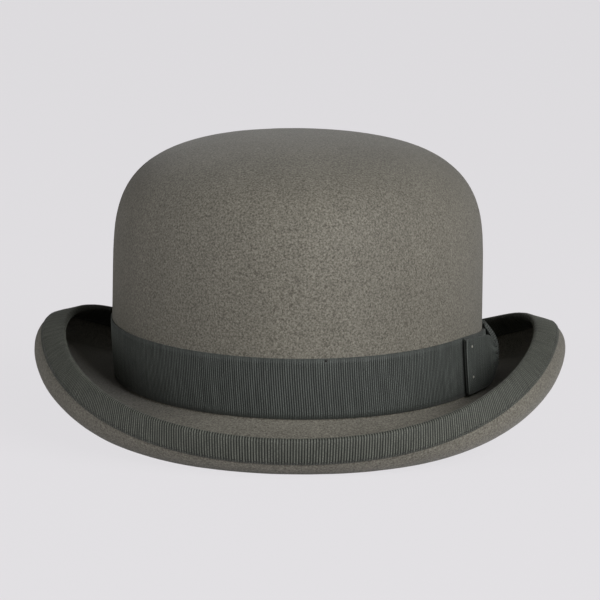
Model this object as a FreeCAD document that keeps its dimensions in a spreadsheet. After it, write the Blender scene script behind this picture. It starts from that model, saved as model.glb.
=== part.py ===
"""Bowler hat: one stiff felt shell with a rolled brim, ribbon trims outside, leather and satin inside.

Millimetres, +Z up. The hat stands on the front and back of its brim at z = 0, the wearer faces -Y and
the bow is on the wearer's left, at +X. Every piece is drawn from the break line, the oval crease where
the crown meets the brim, and is then lifted by its Placement so that the brim rests at z = 0.
"""

import FreeCAD, Part
import Sketcher
import math
import os

Vector = FreeCAD.Vector

doc = FreeCAD.newDocument("bowler_hat")
sheet = doc.addObject("Spreadsheet::Sheet", "dimensions")
CELLS = {
    # Crown: an oval wall that turns over into a flat-topped dome.
    "crown_half_width": 83.8,
    "crown_half_length": 103.0,
    "crown_height": 113.5,
    "wall_height": 33.5,
    "dome_width_power": 2.44,
    "dome_height_power": 4.82,
    "crown_lean": -1.8,
    "break_dip": 1.3,
    "felt_thickness": 2.0,
    "bend_radius": 2.0,
    # Brim section at the front and back, at the diagonals and at the sides.
    "slope_front": 35.4,
    "slope_diagonal": 32.3,
    "slope_side": 34.8,
    "start_angle_front": -25.3,
    "start_angle_diagonal": -18.1,
    "start_angle_side": 8.0,
    "end_angle_front": -18.2,
    "end_angle_diagonal": -4.0,
    "end_angle_side": 35.8,
    "curl_radius_front": 10.2,
    "curl_radius_diagonal": 10.7,
    "curl_radius_side": 6.9,
    "curl_angle_front": 79.9,
    "curl_angle_diagonal": 122.4,
    "curl_angle_side": 172.7,
    "curl_tail": 6.0,
    # Ribbon trims.
    "cloth_gap": 0.05,
    "binding_width": 9.3,
    "binding_thickness": 0.6,
    "band_width": 25.9,
    "band_thickness": 0.7,
    "band_gap": 0.12,
    "thread_radius": 0.22,
    "stitch_count": 260,
    "stitch_length": 2.1,
    "stitch_inset": 1.0,
    "tack_radius": 0.6,
    # Bow, by angle round the hat from the front.
    "bow_front": 61.0,
    "bow_back": 119.0,
    "bow_middle": 90.0,
    "bow_dip": 3.0,
    "dip_angle": 32.0,
    "bow_raise": 0.9,
    "loop_drop": 0.5,
    "loop_inset": 1.5,
    "ribbon_fold": 1.2,
    "loop_rise": 2.9,
    "pinch_angle": 16.0,
    "pinch_depth": 6.3,
    "keeper_width": 15.0,
    "keeper_thickness": 1.0,
    "keeper_rise": 3.0,
    # Inside.
    "tape_width": 11.0,
    "tape_thickness": 0.4,
    "reed_radius": 0.8,
    "leather_width": 57.0,
    "leather_thickness": 0.9,
    "leather_foot_gap": 2.3,
    "leather_top_gap": 1.4,
    "sweatband_foot": 1.0,
    "seam_tape_width": 12.0,
    "satin_thickness": 0.35,
    "satin_foot": 14.0,
    "tip_ratio": 0.78,
    "shield_half_width": 24.0,
    "shield_half_length": 34.0,
    "shield_thickness": 0.3,
    "inner_bow_loop": 4.2,
    "inner_bow_ribbon": 0.7,
    "ticket_width": 16.0,
    "ticket_height": 24.0,
    "ticket_thickness": 0.2,
}
for row, (alias, value) in enumerate(CELLS.items(), start=1):
    sheet.set(f"A{row}", alias)
    sheet.set(f"B{row}", str(value))
    sheet.setAlias(f"B{row}", alias)
doc.recompute()

SUB_PARTS = []
ROUND_POINTS = 48
FRONT, LEFT, BACK = 0.0, 90.0, 180.0


def size(alias):
    """A driving dimension, read from the sheet."""
    return float(sheet.get(alias))


def around(count=ROUND_POINTS, start=0.0, turn=360.0):
    """Evenly spaced angles round the hat, in degrees from the front, without the last of a full turn."""
    return [start + turn * step / count for step in range(count)]


def between(first, last, count):
    """Evenly spaced values with both ends."""
    return [first + (last - first) * step / (count - 1) for step in range(count)]


# --- The oval and the felt's section ---------------------------------------------------------------

def outward(angle):
    """Unit normal of the base oval at an angle round the hat."""
    turn = math.radians(angle)
    normal = Vector(size("crown_half_length") * math.sin(turn), -size("crown_half_width") * math.cos(turn), 0)
    return normal.normalize()


def break_level(angle):
    """Height of the break line, which dips a little at the front and back."""
    return -size("break_dip") * math.cos(2 * math.radians(angle))


def lean_at(height):
    """Sideways lean of the crown, which grows up the wall from above the bend and is then steady."""
    start = size("bend_radius") + size("break_dip")
    share = min(max((height - start) / (size("wall_height") - start), 0.0), 1.0)
    return size("crown_lean") * math.sin(math.radians(90 * share))


def wall_point(angle, out, height):
    """Point beside the crown wall: a distance out from the wall's outer face, at a height."""
    turn = math.radians(angle)
    base = Vector(size("crown_half_width") * math.sin(turn), -size("crown_half_length") * math.cos(turn), height)
    return base + outward(angle) * out + Vector(lean_at(height), 0, 0)


def dome_point(angle, share, depth):
    """Point on the dome: share 0 at the top of the wall and 1 at the crown's centre, depth inside the felt."""
    turn = math.radians(angle)
    rise = math.radians(90 * share)
    ratio = math.cos(rise) ** (2 / size("dome_width_power")) if share < 1 else 0.0
    lift = math.sin(rise) ** (2 / size("dome_height_power"))
    dome_height = size("crown_height") - size("wall_height")
    mean_half = (size("crown_half_width") + size("crown_half_length")) / 2
    across = size("dome_width_power") * ratio ** (size("dome_width_power") - 1) / mean_half
    up = size("dome_height_power") * lift ** (size("dome_height_power") - 1) / dome_height
    length = math.hypot(across, up)
    point = Vector(
        size("crown_half_width") * ratio * math.sin(turn) + size("crown_lean"),
        -size("crown_half_length") * ratio * math.cos(turn),
        size("wall_height") + dome_height * lift,
    )
    return point - outward(angle) * (depth * across / length) - Vector(0, 0, depth * up / length)


def blend(name, angle):
    """Value of a brim dimension at an angle, smooth through its front, diagonal and side values."""
    front, diagonal, side = size(f"{name}_front"), size(f"{name}_diagonal"), size(f"{name}_side")
    turn = math.radians(angle)
    return (
        (front + 2 * diagonal + side) / 4
        + (front - side) / 2 * math.cos(2 * turn)
        + (front - 2 * diagonal + side) / 4 * math.cos(4 * turn)
    )


def along(piece, share):
    """Place and direction a share of the way along one arc of the felt's middle line."""
    out, height, start, turn, length = piece
    reach = length * share
    heading = start + turn * share
    if abs(turn) < 1e-6:
        return out + reach * math.cos(start), height + reach * math.sin(start), heading
    radius = length / turn
    return (
        out + radius * (math.sin(heading) - math.sin(start)),
        height + radius * (math.cos(start) - math.cos(heading)),
        heading,
    )


def brim_pieces(angle):
    """Middle line of the felt from the wall to the rim: the bend, the slope, the curl and the tail."""
    half = size("felt_thickness") / 2
    radius = size("bend_radius")
    start = math.radians(blend("start_angle", angle))
    end = math.radians(blend("end_angle", angle))
    last = math.radians(blend("curl_angle", angle))
    bend_out = -half + radius * (1 + math.sin(start))
    wall_foot = radius * math.cos(start) + bend_out * math.tan(start)
    quarter = math.radians(90)
    bend = (-half, wall_foot, -quarter, start + quarter, radius * (start + quarter))
    slope = (*along(bend, 1), end - start, blend("slope", angle) - bend_out / math.cos(start))
    curl = (*along(slope, 1), last - end, blend("curl_radius", angle) * (last - end))
    tail = (*along(curl, 1), 0.0, size("curl_tail"))
    return bend, slope, curl, tail


def wall_foot(angle):
    """Height above the break line where the straight wall ends and the bend into the brim begins."""
    return brim_pieces(angle)[0][1]


def brim_point(angle, piece, share, side):
    """Point at a distance to one side of the felt's middle line, plus above and minus below."""
    out, height, heading = along(brim_pieces(angle)[piece], share)
    out -= side * math.sin(heading)
    height += side * math.cos(heading)
    turn = math.radians(angle)
    base = Vector(size("crown_half_width") * math.sin(turn), -size("crown_half_length") * math.cos(turn), 0)
    return base + outward(angle) * out + Vector(0, 0, height + break_level(angle))


BEND, SLOPE, CURL, TAIL = 0, 1, 2, 3


def rim_point(angle, tilt, radius):
    """Point on the half round about the rim: tilt 90 is the upper face and -90 the lower."""
    out, height, heading = along(brim_pieces(angle)[TAIL], 1)
    out += radius * math.cos(heading + math.radians(tilt))
    height += radius * math.sin(heading + math.radians(tilt))
    turn = math.radians(angle)
    base = Vector(size("crown_half_width") * math.sin(turn), -size("crown_half_length") * math.cos(turn), 0)
    return base + outward(angle) * out + Vector(0, 0, height + break_level(angle))


def curl_share(angle, width):
    """Share of the curl where an edge lies that is a given width back from the rim."""
    length = brim_pieces(angle)[CURL][4]
    return 1 - (width - size("curl_tail")) / length


# --- Surfaces and solids ---------------------------------------------------------------------------

def spline_row(points, closed):
    """Smooth curve through a row of points; a closed row repeats."""
    count = len(points) + 1 if closed else len(points)
    curve = Part.BSplineCurve()
    curve.interpolate(Points=points, PeriodicFlag=closed, Parameters=[float(step) for step in range(count)])
    return curve


def spline_surface(rows, closed):
    """Smooth surface through rows of points round the hat; a row of one repeated point is a pole."""
    model = spline_row(rows[len(rows) // 2], closed)
    grid = []
    for points in rows:
        is_pole = (points[0] - points[len(points) // 2]).Length < 1e-6
        grid.append([points[0]] * model.NbPoles if is_pole else spline_row(points, closed).getPoles())
    stations = [0.0]
    for before, after in zip(rows, rows[1:]):
        steps = [(b - a).Length for a, b in zip(before, after)]
        stations.append(stations[-1] + sum(steps) / len(steps))
    columns = []
    for poles in zip(*grid):
        column = Part.BSplineCurve()
        column.interpolate(Points=list(poles), Parameters=stations)
        columns.append(column)
    surface = Part.BSplineSurface()
    surface.buildFromPolesMultsKnots(
        [column.getPoles() for column in columns],
        model.getMultiplicities(),
        columns[0].getMultiplicities(),
        model.getKnots(),
        columns[0].getKnots(),
        closed,
        False,
        model.Degree,
        columns[0].Degree,
    )
    return surface


def sewn(faces):
    """One closed solid from faces that share their edges."""
    shell = Part.Shell(faces)
    shell.sewShape()
    solid = Part.Solid(shell)
    if solid.Volume < 0:
        solid.reverse()
    return solid


def ring_solid(strips):
    """Solid right round the hat. Each strip is a list of functions of the angle, one per row of points."""
    angles = around()
    rows = [[[place(angle) for angle in angles] for place in strip] for strip in strips]
    return sewn([spline_surface(strip, True).toShape() for strip in rows])


def flap_solid(angles, strips):
    """Solid over part of the way round the hat: inner, upper, outer and lower strips, closed at both ends
    by straight lines from the inner strip to the outer one."""
    rows = [[[place(angle) for angle in angles] for place in strip] for strip in strips]
    surfaces = [spline_surface(strip, False) for strip in rows]
    faces = [surface.toShape() for surface in surfaces]
    first, last = surfaces[0].bounds()[:2]
    for end in (first, last):
        inner = surfaces[0].uIso(end)
        outer = surfaces[2].uIso(end)
        outer.reverse()
        faces.append(Part.makeRuledSurface(inner.toShape(), outer.toShape()))
    return sewn(faces)


def wall_strip(inner, outer, low, high, rows=2):
    """The four strips of a band on the crown wall. Each argument is a function of the angle; inner and
    outer are distances out from the wall at the foot and at the top."""
    def at(out, share):
        def place(angle):
            height = low(angle) + (high(angle) - low(angle)) * share
            foot, top = out(angle)
            return wall_point(angle, foot + (top - foot) * share, height)
        return place

    shares = between(0, 1, rows)
    return [
        [at(inner, share) for share in shares],
        [at(inner, 1), at(outer, 1)],
        [at(outer, share) for share in reversed(shares)],
        [at(outer, 0), at(inner, 0)],
    ]


def rest_height():
    """Height of the break line above the surface that the brim rests on."""
    half = size("felt_thickness") / 2
    shares = between(0, 1, 60)
    quarter = between(FRONT, LEFT, 46)
    return -min(brim_point(angle, CURL, share, -half).z for angle in quarter for share in shares)


LIFT = Vector(0, 0, rest_height())


def freeform(name, shape):
    """Sub-part with a shape of its own, lifted onto its brim."""
    piece = doc.addObject("Part::Feature", name)
    piece.Label = name
    piece.Shape = shape
    piece.Placement = FreeCAD.Placement(LIFT, FreeCAD.Rotation())
    SUB_PARTS.append(piece)
    return piece


# --- Felt and its binding --------------------------------------------------------------------------

def felt_side(side):
    """Rows over one face of the felt, from the crown's centre to the rim."""
    half = size("felt_thickness") / 2
    depth = half - side
    rows = [lambda a, s=share: dome_point(a, s, depth) for share in dome_shares()]
    for share in between(0, 1, 5)[1:-1]:
        rows.append(lambda a, s=share: wall_point(a, -depth, wall_level(a, s)))
    for piece, count in ((BEND, 5), (SLOPE, 7), (CURL, 10)):
        for share in between(0, 1, count)[:-1]:
            rows.append(lambda a, p=piece, s=share: brim_point(a, p, s, side))
    for share in (0.0, 0.5, 1.0):
        rows.append(lambda a, s=share: brim_point(a, TAIL, s, side))
    return rows


def dome_shares():
    """Shares up the dome from the centre down to the wall, closer together over the shoulder."""
    return [1.0, 0.985, 0.96, 0.92, 0.86, 0.78, 0.68, 0.57, 0.46, 0.35, 0.25, 0.16, 0.09, 0.04, 0.01, 0.0]


def wall_level(angle, share):
    """Height a share of the way down from the top of the wall to its foot."""
    foot = wall_foot(angle) + break_level(angle)
    return size("wall_height") + (foot - size("wall_height")) * share


def rim_rows(radius, tilts):
    """Rows round the rim's half round."""
    return [lambda a, t=tilt: rim_point(a, t, radius) for tilt in tilts]


def felt_body():
    """Crown and brim, blocked from one piece of felt."""
    half = size("felt_thickness") / 2
    rim = rim_rows(half, between(90, -90, 7))
    return ring_solid([felt_side(half), rim, list(reversed(felt_side(-half)))])


def binding_rows(side):
    """Rows over one face of the binding, from its sewn edge to the rim."""
    rows = []
    for share in between(0, 1, 4)[:-1]:
        def place(angle, part=share):
            start = curl_share(angle, size("binding_width"))
            return brim_point(angle, CURL, start + (1 - start) * part, side)
        rows.append(place)
    for share in (0.0, 0.5, 1.0):
        rows.append(lambda a, s=share: brim_point(a, TAIL, s, side))
    return rows


def brim_binding():
    """Ribbon folded over the rim, with the same width on both faces of the curl."""
    near = size("felt_thickness") / 2 + size("cloth_gap")
    far = near + size("binding_thickness")
    tilts = between(90, -90, 7)[1:-1]
    under = binding_rows(near) + rim_rows(near, tilts) + list(reversed(binding_rows(-near)))
    over = binding_rows(far) + rim_rows(far, tilts) + list(reversed(binding_rows(-far)))
    return ring_solid([under, [under[-1], over[-1]], list(reversed(over)), [over[0], under[0]]])


def stitch_row(place, count, length):
    """Short straight stitches laid end to end along a line round the hat, with gaps between them."""
    radius = size("thread_radius")
    stitches = []
    for angle in around(count):
        middle = place(angle)
        direction = (place(angle + 0.1) - place(angle - 0.1)).normalize()
        stitches.append(Part.makeCylinder(radius, length, middle - direction * (length / 2), direction))
    return stitches


def binding_stitches():
    """One row of stitches near the binding's sewn edge, on the outside and on the inside of the curl."""
    far = size("felt_thickness") / 2 + size("cloth_gap") + size("binding_thickness") + size("thread_radius")
    width = size("binding_width") - size("stitch_inset")
    stitches = []
    for side in (-far, far):
        def place(angle, offset=side):
            return brim_point(angle, CURL, curl_share(angle, width), offset)
        stitches += stitch_row(place, int(size("stitch_count")), size("stitch_length"))
    return Part.makeCompound(stitches)


# --- Band and bow ----------------------------------------------------------------------------------

def band_foot(angle):
    """Height of the band's lower edge, at the start of the bend."""
    return break_level(angle) + wall_foot(angle)


def band_top(angle):
    """Height of the band's upper edge, which the bow's stitches draw down a little."""
    share = max(1 - abs(angle - size("bow_middle")) / size("dip_angle"), 0.0)
    return band_foot(angle) + size("band_width") - size("bow_dip") * math.sin(math.radians(90 * share)) ** 2


def keeper_reach():
    """Half the keeper's width, as an angle round the hat."""
    return math.degrees(size("keeper_width") / 2 / size("crown_half_length"))


def pinch(angle):
    """How far the keeper draws each edge of the bow towards the middle of its ribbon."""
    share = (size("pinch_angle") - abs(angle - size("bow_middle"))) / (size("pinch_angle") - keeper_reach())
    share = min(max(share, 0.0), 1.0)
    return size("pinch_depth") * math.sin(math.radians(90 * share)) ** 2


def bow_foot(angle):
    """Height of a loop's lower edge, clear of the brim."""
    return band_foot(angle) + size("bow_raise") + pinch(angle)


def bow_top(angle):
    """Height of a loop's upper edge, just below the band's."""
    return band_top(angle) - size("loop_drop") - pinch(angle)


def steady(value):
    """The same distance out at the foot and at the top, all the way round."""
    return lambda angle: (value, value)


def hat_band():
    """Ribbed ribbon round the foot of the crown."""
    near = size("band_gap")
    return ring_solid(wall_strip(steady(near), steady(band_face()), band_foot, band_top, 4))


def band_face():
    """Distance from the crown wall to the band's outer face."""
    return size("band_gap") + size("band_thickness")


def bow_face():
    """Distance from the crown wall to the back of the bow's loops, which lie over the underlay."""
    return band_face() + size("band_thickness") + 2 * size("cloth_gap")


def tack(angle, out, height):
    """A thread tack: a small bead on a ribbon."""
    return Part.makeSphere(size("tack_radius"), wall_point(angle, out, height))


def band_tacks():
    """Tacks that hold the band's upper edge to the crown at the front, the right and the back."""
    inset = 2 * size("tack_radius")
    out = band_face() + size("cloth_gap") + size("tack_radius")
    return Part.makeCompound([tack(a, out, band_top(a) - inset) for a in (FRONT + 11, BACK + 14, -LEFT)])


def bow_underlay():
    """Flat ribbon end that covers the band's joint and shows at both ends of the bow."""
    near = band_face() + size("cloth_gap")
    far = near + size("band_thickness")
    angles = between(size("bow_front"), size("bow_back"), 13)
    return flap_solid(angles, wall_strip(steady(near), steady(far), band_foot, band_top, 4))


def bow_loop(end):
    """Flattened ribbon loop that swells towards the middle of the bow."""
    middle = size("bow_middle")
    toward = math.copysign(1, end - middle)
    near = bow_face()
    tip = end - toward * size("loop_inset")
    root = middle + toward * keeper_reach()

    def swell(angle):
        share = (angle - tip) / (root - tip)
        far = near + size("ribbon_fold") + size("loop_rise") * math.sin(math.radians(90 * share)) ** 2
        return far, far

    angles = between(min(tip, root), max(tip, root), 13)
    return flap_solid(angles, wall_strip(steady(near), swell, bow_foot, bow_top, 4))


def bow_keeper():
    """Short upright ribbon wrapped over the gathered middle of the bow; it slopes in to the crown above
    and below its face."""
    near = bow_face()
    thin = near + size("keeper_thickness")
    far = thin + size("ribbon_fold") + size("loop_rise")
    middle = size("bow_middle")
    shrink = 0.2
    reach = keeper_reach() - shrink

    def level_at(angle, share):
        foot = band_foot(angle) + size("bow_raise")
        waist = (foot + band_top(angle)) / 2
        top = band_top(angle) + size("keeper_rise")
        return waist + share * (top - waist if share > 0 else waist - foot)

    def inner(share):
        return lambda angle: wall_point(angle, near, level_at(angle, share))

    def outer(share):
        def place(angle):
            face = far - ((angle - middle) / reach) ** 2
            out = thin + (face - thin) * (1 - abs(share) ** 2.5)
            return wall_point(angle, out, level_at(angle, share))
        return place

    shares = between(-1, 1, 13)
    return flap_solid(between(middle - reach, middle + reach, 5), [
        [inner(share) for share in shares],
        [inner(1), outer(1)],
        [outer(share) for share in reversed(shares)],
        [outer(-1), inner(-1)],
    ])


def bow_tacks():
    """Two tacks at each end of the bow, near its upper and lower edges."""
    out = bow_face() + size("ribbon_fold") + size("tack_radius") + 2 * size("cloth_gap")
    inset = 6 * size("tack_radius")
    step = 2 * size("loop_inset")
    tacks = []
    for angle in (size("bow_front") + step, size("bow_back") - step):
        for height in (bow_foot(angle) + 2 * inset, bow_top(angle) - inset):
            tacks.append(tack(angle, out, height))
    return Part.makeCompound(tacks)


# --- Inside ----------------------------------------------------------------------------------------

def level(height, follow=1.0):
    """A height above the break line, as a function of the angle."""
    return lambda angle: height + follow * break_level(angle)


def reed_tape():
    """Cloth tape sewn round the foot of the crown's inner face, which carries the reed."""
    near = -size("felt_thickness") - size("cloth_gap")
    far = near - size("tape_thickness")
    foot = level(size("sweatband_foot") + size("bend_radius"))
    top = level(size("sweatband_foot") + size("tape_width"))
    return ring_solid(wall_strip(steady(far), steady(near), foot, top))


def sweatband_reed():
    """Thin round reed that stiffens the foot of the sweatband."""
    radius = size("reed_radius")
    out = -size("felt_thickness") - 2 * size("cloth_gap") - size("tape_thickness") - radius
    height = size("sweatband_foot") + size("bend_radius") + radius

    def place(tilt):
        turn = math.radians(tilt)
        return lambda a: wall_point(a, out + radius * math.cos(turn), height + radius * math.sin(turn) + break_level(a))

    halves = [between(0, 180, 7), between(180, 360, 7)]
    return ring_solid([[place(tilt) for tilt in half] for half in halves])


def leather_face(extra):
    """Distances out of a face of the sweatband at its foot and top, extra being into the head opening."""
    foot = -size("felt_thickness") - size("leather_foot_gap") - extra
    top = -size("felt_thickness") - size("leather_top_gap") - extra
    return lambda angle: (foot, top)


def sweatband():
    """Leather band that the head bears on; its foot stands off over the reed."""
    foot = level(size("sweatband_foot"))
    top = level(size("sweatband_foot") + size("leather_width"), 0.0)
    return ring_solid(wall_strip(leather_face(size("leather_thickness")), leather_face(0), foot, top, 4))


def leather_out(share, extra):
    """Distance out of the sweatband's inner face a share of the way up, less extra."""
    foot, top = leather_face(size("leather_thickness") + extra)(FRONT)
    return foot + (top - foot) * share


def sweatband_stitches():
    """Stitches through the foot of the leather and the tape."""
    height = size("sweatband_foot") + size("stitch_inset") + size("stitch_length")
    share = height / size("leather_width")
    out = leather_out(share, size("thread_radius") + size("cloth_gap"))
    count = int(size("stitch_count") * 0.7)
    return Part.makeCompound(
        stitch_row(lambda a: wall_point(a, out, height + break_level(a)), count, size("stitch_length"))
    )


def sweatband_seam_tape():
    """Tape over the leather's joint at the back."""
    reach = math.degrees(size("seam_tape_width") / 2 / size("crown_half_width"))
    gap = size("cloth_gap")
    foot = level(size("sweatband_foot") + size("stitch_length") * 3)
    top = level(size("leather_width"), 0.0)
    inner = leather_face(size("leather_thickness") + gap + size("tape_thickness"))
    outer = leather_face(size("leather_thickness") + gap)
    return flap_solid(between(BACK - reach, BACK + reach, 5), wall_strip(inner, outer, foot, top))


def size_ticket():
    """Blank paper ticket tucked between the sweatband and the lining."""
    reach = math.degrees(size("ticket_width") / 2 / size("crown_half_length"))
    middle = BACK + 24
    top = size("sweatband_foot") + size("leather_width") + size("ticket_height") / 3
    low = level(top - size("ticket_height"), 0.0)
    high = level(top, 0.0)

    def face(extra):
        near = -size("felt_thickness") - 3 * size("cloth_gap") - size("satin_thickness") - extra
        return lambda angle: (near, near - 2 * size("satin_thickness"))

    strips = wall_strip(face(size("ticket_thickness")), face(0.0), low, high)
    return flap_solid(between(middle - reach, middle + reach, 5), strips)


def tip_share():
    """Share up the dome where the lining's side meets its tip."""
    rise = math.acos(size("tip_ratio") ** (size("dome_width_power") / 2))
    return math.degrees(rise) / 90


def lining_side():
    """Satin wall of the lining, from behind the sweatband to the tip."""
    near = size("felt_thickness") + 2 * size("cloth_gap")
    far = near + size("satin_thickness")
    shares = between(0, tip_share(), 7)[1:]

    def rows(depth):
        wall = [lambda a, z=height: wall_point(a, -depth, z) for height in
                between(size("satin_foot"), size("wall_height"), 4)]
        return wall + [lambda a, s=share: dome_point(a, s, depth) for share in shares]

    outer = rows(near)
    inner = rows(far)
    return ring_solid([outer, [outer[-1], inner[-1]], list(reversed(inner)), [inner[0], outer[0]]])


def bound(kind, name, sizes, placement=None):
    """A Part primitive whose sizes are bound to the sheet."""
    primitive = doc.addObject(kind, name)
    for prop, expression in sizes.items():
        primitive.setExpression(prop, expression)
    if placement:
        primitive.Placement = placement
    return primitive


def sweatband_bow():
    """Small ribbon bow at the back of the sweatband: two upright loops and a knot, tied in one ribbon."""
    loop = size("inner_bow_loop")
    ribbon = size("inner_bow_ribbon")
    height = size("sweatband_foot") + 3 * loop
    share = height / size("leather_width")
    out = leather_out(share, 2 * size("cloth_gap") + size("tape_thickness") + 2 * ribbon)
    middle = wall_point(BACK, out, height)
    upright = FreeCAD.Rotation(Vector(1, 0, 0), 90)
    pieces = []
    for name, shift in (("left", loop), ("right", -loop)):
        place = FreeCAD.Placement(middle + Vector(shift, 0, 0), upright)
        sizes = {"Radius1": "dimensions.inner_bow_loop", "Radius2": "dimensions.inner_bow_ribbon"}
        pieces.append(bound("Part::Torus", f"inner_bow_{name}_loop", sizes, place))
    knot_place = FreeCAD.Placement(middle - Vector(ribbon * 1.5, ribbon, loop / 2), FreeCAD.Rotation())
    sizes = {
        "Length": "dimensions.inner_bow_ribbon * 3",
        "Width": "dimensions.inner_bow_ribbon * 2",
        "Height": "dimensions.inner_bow_loop",
    }
    pieces.append(bound("Part::Box", "inner_bow_knot", sizes, knot_place))
    bow = doc.addObject("Part::MultiFuse", "sweatband_bow")
    bow.Label = "sweatband_bow"
    bow.Shapes = pieces
    bow.Placement = FreeCAD.Placement(LIFT, FreeCAD.Rotation())
    SUB_PARTS.append(bow)


def tip_body(name, half_width, half_length, thickness, height):
    """Flat oval sheet under the crown: a padded sketch of an ellipse, with its sizes bound to the sheet."""
    body = doc.addObject("PartDesign::Body", name)
    body.Label = name
    plane = next(f for f in body.Origin.OriginFeatures if f.Role == "XY_Plane")
    sketch = body.newObject("Sketcher::SketchObject", f"{name}_outline")
    sketch.AttachmentSupport = [(plane, "")]
    sketch.MapMode = "FlatFace"
    start = Part.Ellipse(Vector(0, 1.2, 0), Vector(1, 0, 0), Vector(0, 0, 0))
    outline = sketch.addGeometry(start, False)
    sketch.exposeInternalGeometry(outline)
    long_axis, short_axis = outline + 1, outline + 2
    sketch.addConstraint(Sketcher.Constraint("Coincident", outline, 3, -1, 1))
    sketch.addConstraint(Sketcher.Constraint("Vertical", long_axis))
    for axis, alias, whole in ((long_axis, "length", half_length), (short_axis, "width", half_width)):
        index = sketch.addConstraint(Sketcher.Constraint("Distance", axis, 1, axis, 2, 2.0))
        sketch.renameConstraint(index, alias)
        sketch.setExpression(f"Constraints.{alias}", whole)
    pad = body.newObject("PartDesign::Pad", f"{name}_sheet")
    pad.Profile = sketch
    pad.setExpression("Length", thickness)
    body.Placement = FreeCAD.Placement(LIFT + Vector(size("crown_lean"), 0, height), FreeCAD.Rotation())
    SUB_PARTS.append(body)


def tip_level():
    """Height of the lining's tip above the break line: the side's upper edge."""
    depth = size("felt_thickness") + 2 * size("cloth_gap")
    return dome_point(FRONT, tip_share(), depth).z


def build():
    """Make every sub-part."""
    freeform("felt_body", felt_body())
    freeform("brim_binding", brim_binding())
    freeform("binding_stitches", binding_stitches())
    freeform("hat_band", hat_band())
    freeform("band_tacks", band_tacks())
    freeform("bow_underlay", bow_underlay())
    freeform("bow_front_loop", bow_loop(size("bow_front")))
    freeform("bow_rear_loop", bow_loop(size("bow_back")))
    freeform("bow_keeper", bow_keeper())
    freeform("bow_tacks", bow_tacks())
    freeform("reed_tape", reed_tape())
    freeform("sweatband_reed", sweatband_reed())
    freeform("sweatband", sweatband())
    freeform("sweatband_stitches", sweatband_stitches())
    freeform("sweatband_seam_tape", sweatband_seam_tape())
    freeform("size_ticket", size_ticket())
    freeform("lining_side", lining_side())
    sweatband_bow()
    tip_height = tip_level() - size("satin_thickness")
    tip_body(
        "lining_tip",
        "2 * (dimensions.crown_half_width * dimensions.tip_ratio - dimensions.felt_thickness)",
        "2 * (dimensions.crown_half_length * dimensions.tip_ratio - dimensions.felt_thickness)",
        "dimensions.satin_thickness",
        tip_height,
    )
    tip_body(
        "tip_shield",
        "2 * dimensions.shield_half_width",
        "2 * dimensions.shield_half_length",
        "dimensions.shield_thickness",
        tip_height - size("shield_thickness") - size("cloth_gap"),
    )


def check_and_write():
    """Refuse a failed object or shape, then write one file for each sub-part."""
    doc.recompute()
    for item in doc.Objects:
        if "Invalid" in item.State or "Error" in item.State:
            raise RuntimeError(f"{item.Label} failed: {item.State}")
    os.makedirs("parts", exist_ok=True)
    for piece in SUB_PARTS:
        shape = piece.Shape
        if shape.isNull() or not shape.isValid():
            raise RuntimeError(f"{piece.Label} has no valid shape")
        box = shape.BoundBox
        print(f"{piece.Label:22s} {len(shape.Solids):4d} solids  {shape.Volume:10.1f} mm3  "
              f"z {box.ZMin:6.1f} to {box.ZMax:6.1f}")
        shape.exportStep(f"parts/{piece.Label}.step")


build()
check_and_write()
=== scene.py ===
"""Looks of the bowler hat: felt, ribbons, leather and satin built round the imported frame. Metres."""

import math

import bmesh
import bpy
import numpy as np
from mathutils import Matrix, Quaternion, Vector, noise


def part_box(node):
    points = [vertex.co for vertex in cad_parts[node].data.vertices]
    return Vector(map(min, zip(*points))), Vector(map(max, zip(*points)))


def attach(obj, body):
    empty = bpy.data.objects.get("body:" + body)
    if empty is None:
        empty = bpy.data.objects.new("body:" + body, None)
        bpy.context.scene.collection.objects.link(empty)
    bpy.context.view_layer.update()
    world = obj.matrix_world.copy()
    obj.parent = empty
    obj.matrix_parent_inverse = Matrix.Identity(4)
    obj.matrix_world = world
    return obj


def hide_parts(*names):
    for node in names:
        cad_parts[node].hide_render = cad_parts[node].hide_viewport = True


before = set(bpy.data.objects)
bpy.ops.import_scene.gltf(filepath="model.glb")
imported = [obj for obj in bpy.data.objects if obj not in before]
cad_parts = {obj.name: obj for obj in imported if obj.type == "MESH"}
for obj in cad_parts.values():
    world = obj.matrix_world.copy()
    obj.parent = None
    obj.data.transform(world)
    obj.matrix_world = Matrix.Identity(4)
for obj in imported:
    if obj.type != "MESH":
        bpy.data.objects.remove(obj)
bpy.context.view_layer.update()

MM = 0.001

# Driving dimensions of the felt, as in the CAD model.
HALF_WIDTH, HALF_LENGTH = 83.8 * MM, 103.0 * MM
CROWN_HEIGHT, WALL_HEIGHT = 113.5 * MM, 33.5 * MM
DOME_WIDTH_POWER, DOME_HEIGHT_POWER = 2.44, 4.82
LEAN, DIP = -1.8 * MM, 1.3 * MM
FELT, BEND_RADIUS = 2.0 * MM, 2.0 * MM
CURL_TAIL = 6.0 * MM
# Brim section at the front and back, at the diagonals and at the sides.
SLOPE = (35.4 * MM, 32.3 * MM, 34.8 * MM)
CURL_RADIUS = (10.2 * MM, 10.7 * MM, 6.9 * MM)
START_ANGLE, END_ANGLE, CURL_ANGLE = (-25.3, -18.1, 8.0), (-18.2, -4.0, 35.8), (79.9, 122.4, 172.7)
# Trims: each ribbon's width, its thickness and the pitch of its ribs, then gaps and edges.
BINDING_WIDTH, BINDING, BINDING_RIB = 9.3 * MM, 0.6 * MM, 1.15 * MM
BAND_WIDTH, BAND, BAND_RIB = 25.9 * MM, 0.7 * MM, 1.0 * MM
BAND_GAP = 0.12 * MM
SELVEDGE = 0.7 * MM
SWEATBAND_FOOT = 1.0 * MM

# Height of the felt's mean break line in the frame.
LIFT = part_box("sweatband")[0].z - (SWEATBAND_FOOT - DIP)


# --- The hat's form ---------------------------------------------------------------------------------

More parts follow.
